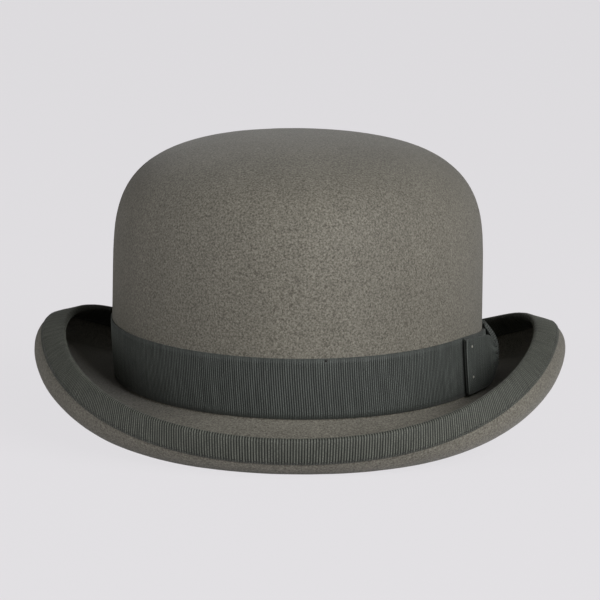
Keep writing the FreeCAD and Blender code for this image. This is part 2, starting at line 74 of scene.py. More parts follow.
def oval(angle):
    """Point and outward normal of the base oval at an angle in degrees from the front."""
    turn = np.radians(angle)
    base = np.stack([HALF_WIDTH * np.sin(turn), -HALF_LENGTH * np.cos(turn)], -1)
    normal = np.stack([HALF_LENGTH * np.sin(turn), -HALF_WIDTH * np.cos(turn)], -1)
    return base, normal / np.linalg.norm(normal, axis=-1, keepdims=True)


def break_level(angle):
    """Height of the break line above its mean."""
    return -DIP * np.cos(2 * np.radians(angle))


def lean_at(height):
    """Sideways lean of the crown at a height above the break line."""
    start = BEND_RADIUS + DIP
    share = np.clip((height - start) / (WALL_HEIGHT - start), 0, 1)
    return LEAN * np.sin(math.pi / 2 * share)


def wall(angle, out, height):
    """Points beside the crown wall, out from its outer face, at a height above the break line."""
    angle, out, height = np.broadcast_arrays(np.asarray(angle, float), out, height)
    base, normal = oval(angle)
    flat = base + normal * out[..., None]
    return np.stack([flat[..., 0] + lean_at(height), flat[..., 1], height + LIFT], -1)


def dome(angle, share, depth):
    """Points on the dome: share 0 at the top of the wall, 1 at the centre; depth inside the outer face."""
    angle, share, depth = np.broadcast_arrays(np.asarray(angle, float), share, depth)
    rise = math.pi / 2 * share
    ratio = np.clip(np.cos(rise), 0, 1) ** (2 / DOME_WIDTH_POWER)
    ratio = np.where(share >= 1, 0.0, ratio)
    lift = np.sin(rise) ** (2 / DOME_HEIGHT_POWER)
    height = CROWN_HEIGHT - WALL_HEIGHT
    across = DOME_WIDTH_POWER * ratio ** (DOME_WIDTH_POWER - 1) / ((HALF_WIDTH + HALF_LENGTH) / 2)
    up = DOME_HEIGHT_POWER * lift ** (DOME_HEIGHT_POWER - 1) / height
    length = np.hypot(across, up)
    base, normal = oval(angle)
    flat = base * ratio[..., None] - normal * (depth * across / length)[..., None]
    top = WALL_HEIGHT + height * lift - depth * up / length
    return np.stack([flat[..., 0] + LEAN, flat[..., 1], top + LIFT], -1)


def blend(values, angle):
    """A brim value at an angle, smooth through its front, diagonal and side values."""
    front, diagonal, side = values
    turn = np.radians(angle)
    steady = (front + 2 * diagonal + side) / 4
    oval_part = (front - side) / 2 * np.cos(2 * turn)
    return steady + oval_part + (front - 2 * diagonal + side) / 4 * np.cos(4 * turn)


def arc(piece, share):
    """Place and heading a share of the way along an arc of the felt's middle line."""
    out, height, start, turn, length = piece
    radius = length / np.where(np.abs(turn) < 1e-6, 1e-6, turn)
    heading = start + turn * share
    return (
        out + radius * (np.sin(heading) - np.sin(start)),
        height + radius * (np.cos(start) - np.cos(heading)),
        heading,
    )


def brim_line(angle):
    """The felt's middle line at each angle, as four arcs: bend, slope, curl and tail."""
    start, end, last = (np.radians(blend(v, angle)) for v in (START_ANGLE, END_ANGLE, CURL_ANGLE))
    quarter = math.pi / 2
    bend_out = -FELT / 2 + BEND_RADIUS * (1 + np.sin(start))
    foot = BEND_RADIUS * np.cos(start) + bend_out * np.tan(start)
    bend = (-FELT / 2 + 0 * foot, foot, -quarter + 0 * foot, start + quarter, BEND_RADIUS * (start + quarter))
    slope = (*arc(bend, 1), end - start, blend(SLOPE, angle) - bend_out / np.cos(start))
    curl = (*arc(slope, 1), last - end, blend(CURL_RADIUS, angle) * (last - end))
    tail = (*arc(curl, 1), 1e-6 + 0 * foot, CURL_TAIL + 0 * foot)
    return bend, slope, curl, tail


def wall_foot(angle):
    """Height above the mean break line where the straight wall ends."""
    return brim_line(np.asarray(angle, float))[0][1] + break_level(angle)


def off_line(angle, place, side):
    """Points at a distance to one side of the felt's middle line, plus above and minus below."""
    out, height, heading = place
    base, normal = oval(angle)
    flat = base + normal * (out - side * np.sin(heading))[..., None]
    level = height + side * np.cos(heading) + break_level(angle) + LIFT
    return np.concatenate([flat, level[..., None]], -1)


def from_rim(angle, distance, side):
    """Points on the curl a distance back from the rim, to one side of the felt's middle line."""
    angle, distance, side = np.broadcast_arrays(np.asarray(angle, float), distance, side)
    _, _, curl, tail = brim_line(angle)
    on_tail = arc(tail, 1 - np.minimum(distance, CURL_TAIL) / CURL_TAIL)
    on_curl = arc(curl, 1 - np.maximum(distance - CURL_TAIL, 0) / curl[4])
    place = [np.where(distance < CURL_TAIL, t, c) for t, c in zip(on_tail, on_curl)]
    return off_line(angle, place, side)


def round_rim(angle, tilt, radius):
    """Points on the half round about the rim; tilt 90 is the upper face and -90 the lower."""
    angle, tilt = np.broadcast_arrays(np.asarray(angle, float), tilt)
    out, height, heading = arc(brim_line(angle)[3], 1)
    turn = heading + np.radians(tilt)
    base, normal = oval(angle)
    flat = base + normal * (out + radius * np.cos(turn))[..., None]
    level = height + radius * np.sin(turn) + break_level(angle) + LIFT
    return np.concatenate([flat, level[..., None]], -1)


def even_angles(place, step, start=0.0, end=360.0):
    """Angles that divide a line round the hat into equal steps; a full turn leaves out its last angle."""
    fine = np.linspace(start, end, 2881)
    points = place(fine)
    gone = np.concatenate([[0], np.cumsum(np.linalg.norm(np.diff(points, axis=0), axis=1))])
    count = max(int(round(gone[-1] / step)), 2)
    closed = abs(end - start - 360.0) < 1e-6
    wanted = np.linspace(0, gone[-1], count, endpoint=not closed)
    return np.interp(wanted, gone, fine), gone[-1]


# --- Mesh makers ------------------------------------------------------------------------------------


def mesh_object(name, points, quads, uvs, ribs=None):
    """Object from points, faces, one uv per point and, for a ribbed cloth, each point's place on its rib."""
    mesh = bpy.data.meshes.new(name)
    mesh.from_pydata([tuple(p) for p in points], [], quads)
    layer = mesh.uv_layers.new(name="cloth")
    corners = np.empty(len(mesh.loops), int)
    mesh.loops.foreach_get("vertex_index", corners)
    layer.data.foreach_set("uv", np.asarray(uvs, np.float32)[corners].ravel())
    if ribs is not None:
        mesh.attributes.new("rib", "FLOAT", "POINT").data.foreach_set("value", np.ravel(ribs))
    mesh.polygons.foreach_set("use_smooth", [True] * len(mesh.polygons))
    mesh.update()
    piece = bpy.data.objects.new(name, mesh)
    bpy.context.scene.collection.objects.link(piece)
    return piece


def grid_quads(rows, columns, close_rows, close_columns, first=0):
    """Faces of a grid whose point number is row * columns + column."""
    down = np.arange(rows if close_rows else rows - 1)
    across = np.arange(columns if close_columns else columns - 1)
    row, column = np.meshgrid(down, across, indexing="ij")
    start, below, beside = row * columns, (row + 1) % rows * columns, (column + 1) % columns
    corners = (start + column, start + beside, below + beside, below + column)
    return (np.stack(corners, -1).reshape(-1, 4) + first).tolist()


def cloth_uv(grid):
    """Distances in metres along the columns and down the rows of a grid of points."""
    along = np.linalg.norm(np.diff(grid, axis=1, append=grid[:, :1]), axis=2).mean(0)
    down = np.linalg.norm(np.diff(grid, axis=0, prepend=grid[:1]), axis=2).mean(1)
    u, v = np.meshgrid(np.concatenate([[0], np.cumsum(along)[:-1]]), np.cumsum(down))
    return np.stack([u, v], -1).reshape(-1, 2)


def normals_of(grid, closed):
    """Unit normals of a grid of points whose second axis runs along the ribbon."""
    along = np.gradient(grid, axis=1)
    if closed:
        along = (np.roll(grid, -1, 1) - np.roll(grid, 1, 1)) / 2
    across = np.gradient(grid, axis=0)
    normal = np.cross(along, across)
    return normal / np.maximum(np.linalg.norm(normal, axis=2, keepdims=True), 1e-12)


def ribbon(name, centre, closed, thickness, rib=0.0, rib_depth=0.0):
    """Woven ribbon about a grid of middle points [across, along]: ribs across it and a plain selvedge."""
    rows, columns = centre.shape[:2]
    normal = normals_of(centre, closed)
    uv = cloth_uv(centre).reshape(rows, columns, 2)
    half = np.full((rows, columns), thickness / 2)
    ribs = np.ones((rows, columns))
    if rib:
        total = uv[0, -1, 0] + (np.linalg.norm(centre[:, 0] - centre[:, -1], axis=1).mean() if closed else 0)
        count = max(round(total / rib), 1)
        edge = np.minimum(uv[..., 1], uv[-1, 0, 1] - uv[..., 1])
        inner = np.clip(edge / SELVEDGE, 0, 1)
        wave = 0.5 + 0.5 * np.cos(2 * math.pi * count * uv[..., 0] / total)
        plain = 0.55
        ribs = plain + (wave - plain) * inner
        half += 2 * rib_depth * (ribs - 1)
    over, under = centre + normal * half[..., None], centre - normal * half[..., None]
    points = np.concatenate([over, under[::-1]])
    ribs = np.concatenate([ribs, ribs[::-1]])
    uvs = np.concatenate([uv, uv[::-1]]).reshape(-1, 2)
    quads = grid_quads(2 * rows, columns, True, closed)
    if not closed:
        for column in (0, columns - 1):
            for row in range(rows - 1):
                mirror = 2 * rows - 1 - row
                face = [row * columns + column, (row + 1) * columns + column,
                        (mirror - 1) * columns + column, mirror * columns + column]
                quads.append(face if column == 0 else face[::-1])
    return mesh_object(name, points.reshape(-1, 3), quads, uvs, ribs)


def closed_form(name, grid):
    """Closed ring: a grid [round the section, round the hat] that joins up both ways."""
    rows, columns = grid.shape[:2]
    return mesh_object(name, grid.reshape(-1, 3), grid_quads(rows, columns, True, True), cloth_uv(grid))


def thread_rows(name, starts, ends, lift, radius):
    """Short stitches: each a thread that rises from the cloth at one end and dives in at the other."""
    sides, rings = 6, 5
    points, quads, uvs = [], [], []
    shares = np.linspace(0, 1, rings)
    tilts = np.linspace(0, 2 * math.pi, sides, endpoint=False)
    for start, end, up in zip(starts, ends, lift):
        along = (end - start) / np.linalg.norm(end - start)
        beside = np.cross(along, up)
        first = len(points)
        for share in shares:
            height = radius * (1.1 * math.sin(math.pi * share) - 0.8)
            width = radius * (0.55 + 0.45 * math.sin(math.pi * share))
            middle = start + (end - start) * share + up * height
            for tilt in tilts:
                points.append(middle + width * (beside * math.cos(tilt) + up * math.sin(tilt)))
                uvs.append((share * np.linalg.norm(end - start), tilt * radius))
        quads += grid_quads(rings, sides, False, True, first)
        quads.append(list(range(first, first + sides)))
        last = first + (rings - 1) * sides
        quads.append(list(range(last + sides - 1, last - 1, -1)))
    return mesh_object(name, points, quads, uvs)


def bead(middle, radius, squash, facing):
    """Points and faces of a small knot of thread, flattened along its facing."""
    rings, sides = 7, 10
    verts = []
    side = np.cross(facing, (0.0, 0.0, 1.0))
    side /= np.linalg.norm(side)
    up = np.cross(side, facing)
    for ring in range(rings):
        lat = math.pi * (ring + 0.5) / rings
        for step in range(sides):
            lon = 2 * math.pi * step / sides
            spread = math.sin(lat) * radius
            verts.append(middle + side * spread * math.cos(lon) + up * spread * math.sin(lon)
                         + facing * math.cos(lat) * radius * squash)
    faces = grid_quads(rings, sides, False, True)
    faces.append(list(range(sides)))
    faces.append(list(range(rings * sides - 1, (rings - 1) * sides - 1, -1)))
    return verts, faces


def joined(name, parts):
    """One mesh from several (verts, faces) pairs."""
    verts, faces = [], []
    for more, quads in parts:
        faces += [[index + len(verts) for index in quad] for quad in quads]
        verts += more
    return mesh_object(name, verts, faces, [(p[0], p[2]) for p in verts])


def merge(piece, other):
    """Moves another object's mesh into a piece."""
    build = bmesh.new()
    build.from_mesh(piece.data)
    build.from_mesh(other.data)
    build.to_mesh(piece.data)
    build.free()
    bpy.data.objects.remove(other)


# --- Materials --------------------------------------------------------------------------------------

class Finish:
    """A Principled material with short calls for the nodes that these cloths need."""

    def __init__(self, name, colour, roughness, **values):
        self.material = bpy.data.materials.new(name)
        self.material.use_nodes = True
        self.nodes, self.links = self.material.node_tree.nodes, self.material.node_tree.links
        self.shader = self.nodes["Principled BSDF"]
        self.shader.inputs["Base Color"].default_value = (*colour, 1)
        self.shader.inputs["Roughness"].default_value = roughness
        for key, value in values.items():
            self.shader.inputs[key.replace("_", " ")].default_value = value
        coordinates = self.nodes.new("ShaderNodeTexCoord")
        self.place = coordinates.outputs["Object"]
        self.cloth = coordinates.outputs["UV"]

    def stretched(self, source, scale):
        """A coordinate with each axis multiplied, to draw a pattern out one way."""
        mapping = self.nodes.new("ShaderNodeMapping")
        mapping.inputs["Scale"].default_value = scale
        self.links.new(source, mapping.inputs["Vector"])
        return mapping.outputs["Vector"]

    def noise(self, source, scale, detail, rough):
        """Cloudy pattern from 0 to 1."""
        node = self.nodes.new("ShaderNodeTexNoise")
        node.inputs["Scale"].default_value = scale
        node.inputs["Detail"].default_value = detail
        node.inputs["Roughness"].default_value = rough
        self.links.new(source, node.inputs["Vector"])
        return node.outputs["Fac"]

    def cells(self, source, scale):
        """Cell pattern, 0 at the middle of each cell."""
        node = self.nodes.new("ShaderNodeTexVoronoi")
        node.inputs["Scale"].default_value = scale
        self.links.new(source, node.inputs["Vector"])
        return node.outputs["Distance"]

    def stripes(self, source, scale, axis):
        """Even bands from 0 to 1 along an axis, one to every pi / 10 / scale metres."""
        node = self.nodes.new("ShaderNodeTexWave")
        node.bands_direction = axis
        node.inputs["Scale"].default_value = scale
        self.links.new(source, node.inputs["Vector"])
        return node.outputs["Fac"]

    def ribs(self):
        """Place on a ribbed cloth: 0 between two ribs and 1 on top of one."""
        node = self.nodes.new("ShaderNodeAttribute")
        node.attribute_name = "rib"
        return node.outputs["Fac"]

    def product(self, first, second):
        """Two values multiplied."""
        node = self.nodes.new("ShaderNodeMath")
        node.operation = "MULTIPLY"
        self.links.new(first, node.inputs[0])
        self.links.new(second, node.inputs[1])
        return node.outputs["Value"]

    def ramp(self, source, low, high, start=0.0, end=1.0):
        """Colour that goes from low to high as source goes from start to end."""
        node = self.nodes.new("ShaderNodeValToRGB")
        node.color_ramp.elements[0].position = start
        node.color_ramp.elements[0].color = (*low, 1)
        node.color_ramp.elements[1].position = end
        node.color_ramp.elements[1].color = (*high, 1)
        self.links.new(source, node.inputs["Fac"])
        return node.outputs["Color"]

    def times(self, first, second):
        """Two colours multiplied."""
        node = self.nodes.new("ShaderNodeMix")
        node.data_type, node.blend_type = "RGBA", "MULTIPLY"
        node.inputs["Factor"].default_value = 1.0
        self.links.new(first, node.inputs["A"])
        self.links.new(second, node.inputs["B"])
        return node.outputs["Result"]

    def colour(self, source):
        """Sets the base colour."""
        self.links.new(source, self.shader.inputs["Base Color"])

    def roughness(self, source):
        """Sets the roughness."""
        self.links.new(source, self.shader.inputs["Roughness"])

    def bump(self, heights, distance, strength):
        """Raises the surface by heights times distance, on top of any bump before it."""
        node = self.nodes.new("ShaderNodeBump")
        node.inputs["Distance"].default_value = distance
        node.inputs["Strength"].default_value = strength
        self.links.new(heights, node.inputs["Height"])
        if self.shader.inputs["Normal"].is_linked:
            self.links.new(self.shader.inputs["Normal"].links[0].from_socket, node.inputs["Normal"])
        self.links.new(node.outputs["Normal"], self.shader.inputs["Normal"])


def grey(value):
    """A neutral colour."""
    return (value, value, value)


def felt_finish():
    """Dense wool felt: matted short fibres, faint clouds from brushing, a soft nap."""
    finish = Finish("felt", (0.16, 0.15, 0.125), 0.68, Sheen_Weight=0.18, Sheen_Roughness=0.5,
                    Specular_IOR_Level=0.32)
    fibres = finish.noise(finish.place, 3000, 3, 0.7)
    flecks = finish.noise(finish.place, 1250, 2, 0.6)
    clouds = finish.noise(finish.stretched(finish.place, (1, 1, 0.4)), 34, 3, 0.5)
    tone = finish.ramp(flecks, (0.078, 0.070, 0.054), (0.252, 0.238, 0.198), 0.30, 0.70)
    speckle = finish.ramp(fibres, grey(0.70), grey(1.28), 0.3, 0.7)
    patches = finish.ramp(clouds, grey(0.93), grey(1.06), 0.3, 0.7)
    finish.colour(finish.times(finish.times(tone, speckle), patches))
    finish.bump(clouds, 0.35 * MM, 0.6)
    finish.bump(flecks, 0.10 * MM, 0.9)
    finish.bump(fibres, 0.04 * MM, 0.9)
    return finish.material


def ribbon_finish(name, dark, light, groove, ridge_light):
    """Grosgrain: fine yarns over ribs, the tone wandering a little from rib to rib, painted shade between the
    ribs and painted light on their tops.
    """
    finish = Finish(name, light, 0.6, Sheen_Weight=0.1, Sheen_Roughness=0.4, Specular_IOR_Level=0.3)
    yarns = finish.noise(finish.stretched(finish.cloth, (900, 4200, 1)), 1.0, 2, 0.6)
    wander = finish.noise(finish.stretched(finish.cloth, (700, 60, 1)), 1.0, 2, 0.5)
    tone = finish.ramp(yarns, dark, light, 0.3, 0.72)
    wander = finish.ramp(wander, grey(0.72), grey(1.2), 0.3, 0.7)
    # Painted shade and light: the colour goes dark between the ribs and light on their tops, following each
    # point's place on its rib.
    painted_rib_shade = finish.ramp(finish.ribs(), grey(groove), grey(ridge_light), 0.1, 0.95)
    finish.colour(finish.times(finish.times(tone, wander), painted_rib_shade))
    finish.bump(yarns, 0.08 * MM, 0.8)
    return finish.material


def thread_finish(name, dark, light):
    """Twisted sewing thread."""
    finish = Finish(name, light, 0.55, Sheen_Weight=0.2, Specular_IOR_Level=0.4)
    twist = finish.noise(finish.stretched(finish.cloth, (2400, 5200, 1)), 1.0, 2, 0.5)
    finish.colour(finish.ramp(twist, dark, light, 0.3, 0.7))
    finish.bump(twist, 0.05 * MM, 0.6)
    return finish.material


def leather_finish():
    """Tanned hat leather: fine pebble grain and pores, darker where hands and heads have worn it."""
    finish = Finish("leather", (0.2, 0.1, 0.05), 0.42, Specular_IOR_Level=0.5,
                    Coat_Weight=0.08, Coat_Roughness=0.3)
    grain = finish.cells(finish.place, 1100)
    pores = finish.noise(finish.place, 2600, 2, 0.6)
    wear = finish.noise(finish.place, 28, 3, 0.6)
    tone = finish.ramp(wear, (0.115, 0.052, 0.024), (0.225, 0.118, 0.06), 0.3, 0.72)
    finish.colour(finish.times(tone, finish.ramp(grain, grey(1.06), grey(0.84), 0.1, 0.75)))
    finish.roughness(finish.ramp(wear, grey(0.36), grey(0.52), 0.3, 0.7))
    finish.bump(grain, 0.06 * MM, 0.7)
    finish.bump(pores, 0.02 * MM, 0.6)
    return finish.material


def satin_finish(name, dark, light):
    """Satin weave: a soft directional gloss and fine warp threads."""
    finish = Finish(name, light, 0.34, Specular_IOR_Level=0.5, Sheen_Weight=0.25, Sheen_Roughness=0.3,
                    Anisotropic=0.5)
    threads = finish.noise(finish.stretched(finish.cloth, (5200, 260, 1)), 1.0, 2, 0.5)
    clouds = finish.noise(finish.place, 40, 2, 0.5)
    finish.colour(finish.times(finish.ramp(threads, dark, light, 0.25, 0.75),
                               finish.ramp(clouds, grey(0.92), grey(1.06), 0.3, 0.7)))
    finish.bump(threads, 0.03 * MM, 0.5)
    return finish.material


def tape_finish():
    """Plain woven cotton tape."""
    finish = Finish("tape", (0.09, 0.085, 0.075), 0.85, Sheen_Weight=0.15, Specular_IOR_Level=0.25)
    warp = finish.stripes(finish.cloth, 520, "X")
    weft = finish.stripes(finish.cloth, 520, "Y")
    weave = finish.product(warp, weft)
    finish.colour(finish.ramp(weave, (0.06, 0.056, 0.05), (0.12, 0.113, 0.1)))
    finish.bump(weave, 0.08 * MM, 0.8)
    return finish.material


def paper_finish():
    """Blank card, a little yellowed."""
    finish = Finish("paper", (0.72, 0.68, 0.58), 0.9, Specular_IOR_Level=0.3)
    fibre = finish.noise(finish.place, 900, 3, 0.6)
    stain = finish.noise(finish.place, 90, 2, 0.5)
    finish.colour(finish.times(finish.ramp(fibre, (0.66, 0.62, 0.52), (0.75, 0.71, 0.62)),
                               finish.ramp(stain, grey(0.9), grey(1.03))))
    finish.bump(fibre, 0.02 * MM, 0.6)
    return finish.material


def reed_finish():
    """Pale extruded plastic with faint die lines."""
    finish = Finish("reed", (0.5, 0.48, 0.42), 0.45, Specular_IOR_Level=0.5)
    lines = finish.noise(finish.stretched(finish.place, (40, 40, 3000)), 1.0, 2, 0.5)
    finish.colour(finish.ramp(lines, (0.44, 0.42, 0.36), (0.54, 0.52, 0.46)))
    finish.bump(lines, 0.02 * MM, 0.4)
    return finish.material


def film_finish():
    """Clear flexible film with faint scuffs."""
    finish = Finish("clear_film", (0.93, 0.93, 0.9), 0.12, IOR=1.46, Transmission_Weight=0.9, Alpha=0.45)
    scuffs = finish.noise(finish.stretched(finish.place, (900, 90, 90)), 1.0, 3, 0.7)
    finish.roughness(finish.ramp(scuffs, grey(0.08), grey(0.3), 0.4, 0.75))
    finish.bump(scuffs, 0.01 * MM, 0.4)
    return finish.material


def place_piece(piece, material, node):
    """Gives a piece its material, hangs it on the hat and hides the CAD node that it stands for."""
    piece.data.materials.clear()
    piece.data.materials.append(material)
    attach(piece, "root")
    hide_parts(node)
    return piece


# --- Felt and binding -------------------------------------------------------------------------------

def felt_sections(angles, side, dense):
    """Rows of points over one face of the felt, from near the crown's centre to the rim. The inside of
    the crown is hidden behind the lining and needs fewer rows."""
    depth = FELT / 2 - side
    dome_rows, wall_rows = (64, 20) if dense else (34, 8)
    arc_rows = (7, 24, 22, 5)
    # The power draws the dome's rows together towards its flat centre.
    shares = 1 - np.linspace(0, 1, dome_rows + 1)[1:] ** 1.4
    rows = [dome(angles, share, depth) for share in shares]
    foot = wall_foot(angles)
    for share in np.linspace(0, 1, wall_rows)[1:-1]:
        rows.append(wall(angles, -depth, WALL_HEIGHT + (foot - WALL_HEIGHT) * share))
    for piece, steps in zip(brim_line(angles), arc_rows):
        for share in np.linspace(0, 1, steps)[:-1]:
            rows.append(off_line(angles, arc(piece, share), side))
    return rows


def felt_body():
    """Crown and brim in one skin: over the outside, round the rim and back over the inside."""
    angles = np.linspace(0, 360, 400, endpoint=False)
    rows = felt_sections(angles, FELT / 2, True)
    rows += [round_rim(angles, tilt, FELT / 2) for tilt in np.linspace(90, -90, 7)]
    rows += list(reversed(felt_sections(angles, -FELT / 2, False)))
    grid = np.stack(rows)
    count, columns = grid.shape[:2]
    # Hand-blocked felt is never quite true: a slow swell of a fraction of a millimetre.
    normal = normals_of(grid, True)
    for row in range(count):
        for column in range(columns):
            point = Vector(grid[row, column])
            swell = noise.noise(point * 38.0) * 0.16 * MM + noise.noise(point * 160.0) * 0.05 * MM
            grid[row, column] += normal[row, column] * swell
    outer_top, inner_top = dome(0.0, 1.0, 0.0), dome(0.0, 1.0, FELT)
    points = np.concatenate([grid.reshape(-1, 3), [outer_top, inner_top]])
    uvs = np.concatenate([cloth_uv(grid), [[0, 0], [0, 0]]])
    quads = grid_quads(count, columns, False, True)
    centre, under = len(points) - 2, len(points) - 1
    last = (count - 1) * columns
    for column in range(columns):
        beside = (column + 1) % columns
        quads.append([centre, beside, column])
        quads.append([under, last + column, last + beside])
    return mesh_object("felt_body_felt", points, quads, uvs)


CLOTH_GAP = 0.05 * MM


def binding_centre(angles):
    """Middle surface of the folded ribbon, from its sewn edge on one face round the rim to the other."""
    lift = FELT / 2 + CLOTH_GAP + BINDING / 2
    # Closer together at the woven edge and on the curl; the felt is straight between them and the rim.
    distances = [BINDING_WIDTH, BINDING_WIDTH - SELVEDGE, 7.4 * MM, CURL_TAIL, CURL_TAIL / 2, 0.0]
    rows = [from_rim(angles, distance, lift) for distance in distances]
    rows += [round_rim(angles, tilt, lift) for tilt in (45, 0, -45)]
    rows += [from_rim(angles, distance, -lift) for distance in reversed(distances)]
    return np.stack(rows)


def brim_binding():
    """Grosgrain folded over the rim, with a rib at every pitch."""
    samples = 4

    def line(angle):
        return round_rim(angle, 0.0, FELT)

    angles, length = even_angles(line, BINDING_RIB / samples)
    ribs = len(angles) // samples
    angles, length = even_angles(line, length / (ribs * samples))
    return ribbon("brim_binding_ribbon", binding_centre(angles), True, BINDING, length / ribs, 0.11 * MM)


def binding_stitches():
    """Machine stitches beside the binding's sewn edge, outside and inside the curl."""
    pitch, length, radius = 3.1 * MM, 2.2 * MM, 0.2 * MM
    distance = BINDING_WIDTH - 0.9 * MM
    out = FELT / 2 + CLOTH_GAP + BINDING
    starts, ends, ups = [], [], []
    for side in (-out, out):
        def line(angle, offset=side):
            return from_rim(angle, distance, offset)

        middles, total = even_angles(line, pitch)
        reach = length / total * 180
        for middle in middles:
            up = line(middle, side * 1.5) - line(middle)
            starts.append(line(middle - reach))
            ends.append(line(middle + reach))
            ups.append(up / np.linalg.norm(up))
    return thread_rows("binding_stitches_thread", starts, ends, ups, radius)


# --- Band and bow -----------------------------------------------------------------------------------

RIB_DEPTH = 0.085 * MM
RIB_SAMPLES = 6
RIB_STEP = BAND_RIB / RIB_SAMPLES
BAND_FACE = BAND_GAP + BAND
# A height on the straight wall, where lengths along the band are measured.
BAND_LEVEL = 10 * MM
# The bow, in degrees from the front, and how far it and its stitches draw the band's upper edge down.
BOW_FRONT, BOW_BACK, BOW_MIDDLE = 61.0, 119.0, 90.0
BOW_DIP, DIP_ANGLE = 3.0 * MM, 32.0
UNDERLAY_INSET, LOOP_INSET, LOOP_ROOT = 0.6, 0.3, 2.0
# A loop's thickness and bulge, how far its edges are inside the band's, and the gap between layers.
LOOP, LOOP_RISE = 0.6 * MM, 2.9 * MM
BOW_RAISE, LOOP_DROP = 0.9 * MM, 0.5 * MM
LAYER_GAP = 0.15 * MM
# The keeper draws the bow in from PINCH degrees off its middle, reaches REACH degrees to each side
# and rises above the band's edge.
PINCH_FRONT, PINCH_REAR, PINCH_DEPTH = 16.0, 27.0, 6.3 * MM
KEEPER_REACH = math.degrees(7.5 * MM / HALF_LENGTH)
KEEPER_RISE = 1.8 * MM
# Length of one degree of the crown's side.
DEGREE = HALF_LENGTH * math.radians(1)


def band_top(angle):
    """Height of the band's upper edge, which the bow's stitches draw down a little."""
    share = np.clip(1 - np.abs(angle - BOW_MIDDLE) / DIP_ANGLE, 0, 1)
    return wall_foot(angle) + BAND_WIDTH - BOW_DIP * np.sin(math.pi / 2 * share) ** 2


def upright_ribbon(name, angles, outs, closed):
    """Ribbon as wide as the band that stands on edge along a path round the crown."""
    low, high = wall_foot(angles), band_top(angles)
    centre = np.stack([wall(angles, outs, low + (high - low) * share) for share in np.linspace(0, 1, 12)])
    return ribbon(name, centre, closed, BAND, BAND_RIB, RIB_DEPTH)


def hat_band():
    """Grosgrain band round the crown."""
    out = BAND_GAP + BAND / 2

    def line(angle):
        return wall(angle, out, BAND_LEVEL)

    _, length = even_angles(line, BAND_RIB)
    ribs = round(length / BAND_RIB)
    angles, _ = even_angles(line, length / (ribs * RIB_SAMPLES))
    return upright_ribbon("hat_band_ribbon", angles, np.full(len(angles), out), True)


def pinch(angle):
    """How far the keeper draws each edge of the bow towards the middle of its ribbon."""
    start = np.where(angle > BOW_MIDDLE, PINCH_REAR, PINCH_FRONT)
    share = np.clip((start - np.abs(angle - BOW_MIDDLE)) / (start - KEEPER_REACH), 0, 1)
    return PINCH_DEPTH * np.sin(math.pi / 2 * share) ** 2


def bow_foot(angle):
    """Height of a loop's lower edge, clear of the brim."""
    return wall_foot(angle) + BOW_RAISE + pinch(angle)


def bow_top(angle):
    """Height of a loop's upper edge, just below the band's."""
    return band_top(angle) - LOOP_DROP - pinch(angle)


def even_path(angles, outs, step):
    """A path of (angle, out) points divided again into equal steps."""
    points = wall(angles, outs, np.full(len(angles), BAND_LEVEL))
    gone = np.concatenate([[0], np.cumsum(np.linalg.norm(np.diff(points, axis=0), axis=1))])
    wanted = np.linspace(0, gone[-1], max(int(gone[-1] / step), 8))
    return np.interp(wanted, gone, angles), np.interp(wanted, gone, outs)


def bow_underlay():
    """Flat ribbon end under the loops, which covers the band's joint."""
    angles = np.linspace(BOW_FRONT + UNDERLAY_INSET, BOW_BACK - UNDERLAY_INSET, 200)
    angles, outs = even_path(angles, np.full(200, BAND_FACE + BAND / 2 + 0.08 * MM), RIB_STEP)
    return upright_ribbon("bow_underlay_ribbon", angles, outs, False)


def bow_loop(name, end):
    """One flattened loop: the ribbon runs out to its fold on the band and comes back over itself, its
    edges drawn together under the keeper."""
    toward = math.copysign(1, end - BOW_MIDDLE)
    tip = end - toward * LOOP_INSET
    root = BOW_MIDDLE + toward * LOOP_ROOT
    near = BAND_FACE + BAND + LAYER_GAP + BAND / 2
    fold = 0.62 * MM
    share = np.linspace(0, 1, 80)
    under = (root + (tip - root) * share, np.full(80, near))
    turn = np.radians(np.linspace(-90, 90, 9)[1:-1])
    bend = (tip + toward * np.cos(turn) * fold / DEGREE, near + fold + fold * np.sin(turn))
    over = (tip + (root - tip) * share, near + 2 * fold + LOOP_RISE * np.sin(math.pi / 2 * share) ** 2)
    angles, outs = even_path(*(np.concatenate(part) for part in zip(under, bend, over)), RIB_STEP)
    up = np.linspace(0, 1, 25)[:, None]
    low, high = bow_foot(angles), bow_top(angles)
    # The drawn-in ribbon buckles into three soft pleats that run out from the keeper.
    drawn = (pinch(angles) / PINCH_DEPTH) * (outs > near + fold)
    pleats = 0.55 * MM * drawn * np.cos(2 * math.pi * 3 * up)
    centre = wall(angles, outs + pleats, low + (high - low) * up)
    return ribbon(name, centre, False, LOOP, BAND_RIB, RIB_DEPTH)


def bow_keeper():
    """Ribbon wrapped over the bow's middle: it comes off the crown above the band, slopes out to its face
    and slopes back in at its foot."""
    length, loop_layers, clearance = 34 * MM, 1.0 * MM, 1.2 * MM
    near = BAND_FACE + BAND + 0.2 * MM
    face = near + loop_layers + clearance + LOOP_RISE
    share = np.linspace(1.0, -1.0, int(length / RIB_STEP))
    across = np.linspace(-1, 1, 17)[:, None]
    angle = BOW_MIDDLE + across * KEEPER_REACH * (1 - 0.12 * (1 - share ** 2))
    foot, top = wall_foot(BOW_MIDDLE) + BOW_RAISE, band_top(BOW_MIDDLE)
    waist = (foot + top) / 2
    height = waist + np.where(share > 0, share * (top + KEEPER_RISE - waist), share * (waist - foot))
    start = np.where(share > 0, BAND_FACE + 0.4 * MM, near)
    bulge = 1 - np.abs(share) ** 2.5
    out = start + (face - start) * bulge
    pleats = 0.3 * MM * np.cos(across * math.pi * 3) * bulge
    rounding = -1.2 * MM * across ** 2 * bulge ** 0.5
    centre = wall(angle, out + pleats + rounding, np.broadcast_to(height, angle.shape))
    return ribbon("bow_keeper_ribbon", centre, False, LOOP, BAND_RIB, 0.1 * MM)


